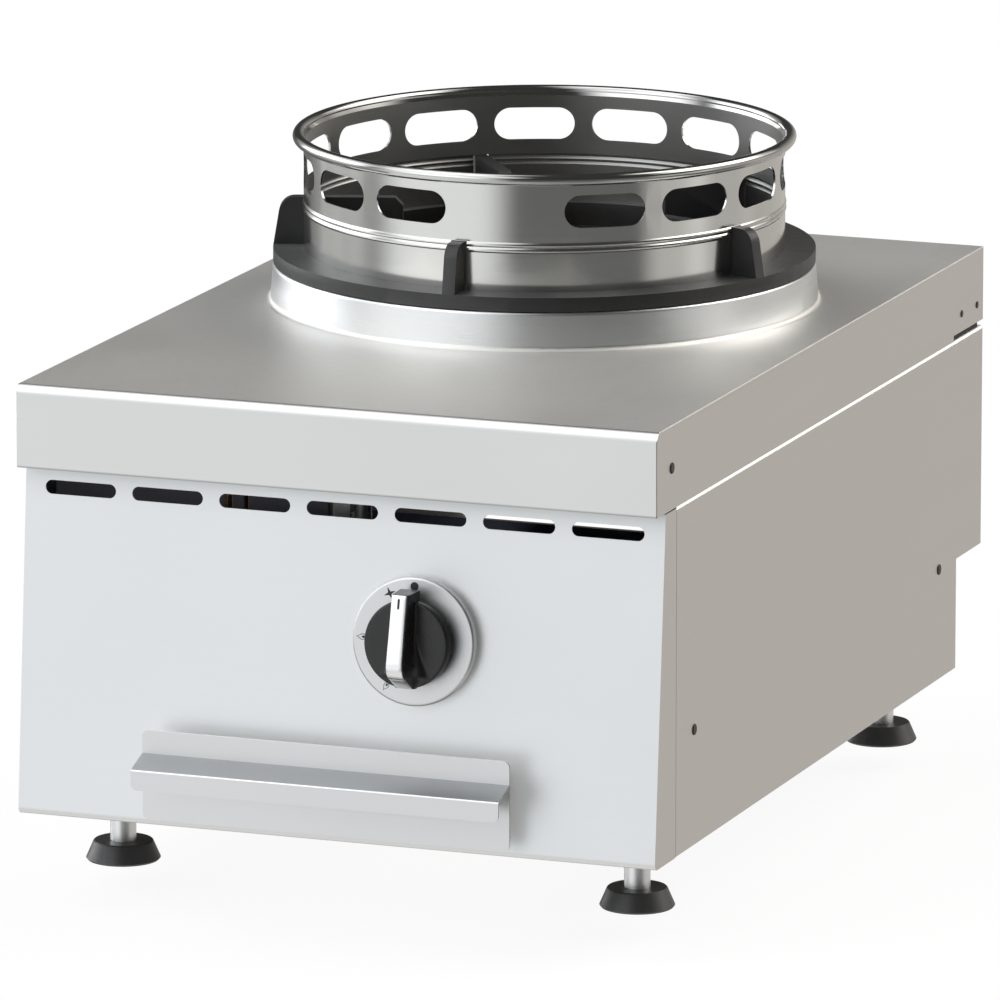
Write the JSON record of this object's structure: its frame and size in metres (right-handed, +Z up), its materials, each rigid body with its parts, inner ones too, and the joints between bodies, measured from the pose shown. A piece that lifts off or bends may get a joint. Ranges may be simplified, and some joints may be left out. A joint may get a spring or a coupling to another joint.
{
  "type": "counter-top wok burner",
  "caption": "Counter-top gas wok burner: folded steel body with raised collar, loose finned pan support, slotted wok ring, front tap with knob, drip tray and screw feet.",
  "frame": {"origin": "on the floor, under the middle of the outline seen from above", "axes": "+X to the right seen from the front, +Y to the rear, +Z up; the knob and the drip tray are on the -Y side"},
  "size_m": [0.4014, 0.634, 0.4042],
  "materials": {
    "stainless_top": "satin, lightly brushed sheet",
    "stainless_front": "fine brushed sheet",
    "stainless_side": "satin sheet",
    "stainless_ring": "polished sheet with fine turning lines",
    "plated_sheet": "zinc plated",
    "dark_paint": "matte dark paint",
    "cast_iron": "dark matte casting",
    "black_enamel": "black enamel",
    "brass": "turned brass",
    "copper": "drawn copper tube",
    "rubber": "black rubber",
    "white_seal": "white silicone",
    "black_plastic": "black, half-gloss",
    "silver_trim": "bright metal",
    "silver_dial": "satin silver"
  },
  "bodies": {
    "body": {"worktop": "stainless_top", "front_panel": "stainless_front", "side_panel_left": "stainless_side", "side_panel_right": "stainless_side", "rear_panel": "stainless_side", "base_frame_front": "plated_sheet", "base_frame_rear": "plated_sheet", "foot_nuts": "plated_sheet", "tray_rail_left": "plated_sheet", "tray_rail_right": "plated_sheet", "front_brackets": "plated_sheet", "rear_brackets": "dark_paint", "heat_shield": "plated_sheet", "burner_bridge": "plated_sheet", "burner_body": "cast_iron", "burner_screws": "plated_sheet", "injector_holder": "plated_sheet", "injector": "brass", "pilot_burner": "stainless_side", "thermocouple": "stainless_side", "thermocouple_lead": "copper", "pilot_pipe": "copper", "burner_pipe": "stainless_side", "gas_pipe": "plated_sheet", "inlet_fitting": "brass", "inlet_locknut": "brass", "valve_bracket": "plated_sheet", "valve_bonnet": "brass", "valve_body": "brass", "valve_screws": "plated_sheet", "safety_magnet": "plated_sheet", "knob_dial": "silver_dial", "side_screws": "silver_trim", "apron_screws": "silver_trim", "rear_rivets": "silver_trim", "worktop_seals": "white_seal"},
    "tap_plug": {"valve_plug": "brass", "valve_spring": "plated_sheet"},
    "tap_knob": {"spindle": "plated_sheet", "knob": "black_plastic", "knob_insert": "silver_trim"},
    "tray": {"drip_tray": "stainless_side", "tray_front": "stainless_front", "tray_handle": "stainless_front"},
    "grate": {"pan_support": "cast_iron"},
    "ring": {"wok_ring": "stainless_ring"},
    "crown": {"flame_spreader": "brass"},
    "cap": {"burner_cap": "black_enamel"},
    "shutter": {"air_shutter": "plated_sheet"},
    "thumb_screw": {"shutter_screw": "brass"},
    "pad_fl": {"foot_pad_fl": "rubber"},
    "stem_fl": {"foot_stem_fl": "stainless_side"},
    "pad_fr": {"foot_pad_fr": "rubber"},
    "stem_fr": {"foot_stem_fr": "stainless_side"},
    "pad_rl": {"foot_pad_rl": "rubber"},
    "stem_rl": {"foot_stem_rl": "stainless_side"},
    "pad_rr": {"foot_pad_rr": "rubber"},
    "stem_rr": {"foot_stem_rr": "stainless_side"}
  },
  "joints": [
    {"name": "knob_turn", "type": "hinge", "parent": "body", "child": "tap_plug", "pos_m": [0.0494, -0.27511, 0.16453], "axis": [0, -0.9966, 0.0823], "range_deg": [0, 150]},
    {"name": "knob_push", "type": "slide", "parent": "tap_plug", "child": "tap_knob", "axis": [0, 0.9966, -0.0823], "range_m": [0, 0.004], "stiffness_N_per_m": 1500, "springref_m": -0.003, "deforming": ["valve_spring"]},
    {"name": "tray_slide", "type": "slide", "parent": "body", "child": "tray", "axis": [0, -1, 0], "range_m": [0, 0.3]},
    {"name": "grate_lift", "type": "slide", "parent": "body", "child": "grate", "axis": [0, 0, 1], "range_m": [0, 0.15]},
    {"name": "ring_lift", "type": "slide", "parent": "grate", "child": "ring", "axis": [0, 0, 1], "range_m": [0, 0.15]},
    {"name": "crown_lift", "type": "slide", "parent": "body", "child": "crown", "axis": [0, 0, 1], "range_m": [0, 0.2]},
    {"name": "cap_lift", "type": "slide", "parent": "crown", "child": "cap", "axis": [0, 0, 1], "range_m": [0, 0.15]},
    {"name": "shutter_slide", "type": "slide", "parent": "body", "child": "shutter", "axis": [0, -1, 0], "range_m": [-0.005, 0.012]},
    {"name": "thumb_screw_turn", "type": "hinge", "parent": "shutter", "child": "thumb_screw", "pos_m": [0, -0.096, 0.28], "axis": [0, 0, 1], "range_deg": [0, 360]},
    {"name": "foot_height_fl", "type": "slide", "parent": "body", "child": "pad_fl", "axis": [0, 0, -1], "range_m": [0, 0.015]},
    {"name": "foot_turn_fl", "type": "hinge", "parent": "pad_fl", "child": "stem_fl", "pos_m": [-0.163, -0.2125, 0.02], "axis": [0, 0, -1], "range_deg": [0, 3600]},
    {"name": "foot_height_fr", "type": "slide", "parent": "body", "child": "pad_fr", "axis": [0, 0, -1], "range_m": [0, 0.015]},
    {"name": "foot_turn_fr", "type": "hinge", "parent": "pad_fr", "child": "stem_fr", "pos_m": [0.163, -0.2125, 0.02], "axis": [0, 0, -1], "range_deg": [0, 3600]},
    {"name": "foot_height_rl", "type": "slide", "parent": "body", "child": "pad_rl", "axis": [0, 0, -1], "range_m": [0, 0.015]},
    {"name": "foot_turn_rl", "type": "hinge", "parent": "pad_rl", "child": "stem_rl", "pos_m": [-0.163, 0.2328, 0.02], "axis": [0, 0, -1], "range_deg": [0, 3600]},
    {"name": "foot_height_rr", "type": "slide", "parent": "body", "child": "pad_rr", "axis": [0, 0, -1], "range_m": [0, 0.015]},
    {"name": "foot_turn_rr", "type": "hinge", "parent": "pad_rr", "child": "stem_rr", "pos_m": [0.163, 0.2328, 0.02], "axis": [0, 0, -1], "range_deg": [0, 3600]}
  ],
  "couplings": [
    {"joint": "foot_turn_fl", "follows": "foot_height_fl", "rad_per_m": 4188.8},
    {"joint": "foot_turn_fr", "follows": "foot_height_fr", "rad_per_m": 4188.8},
    {"joint": "foot_turn_rl", "follows": "foot_height_rl", "rad_per_m": 4188.8},
    {"joint": "foot_turn_rr", "follows": "foot_height_rr", "rad_per_m": 4188.8}
  ]
}
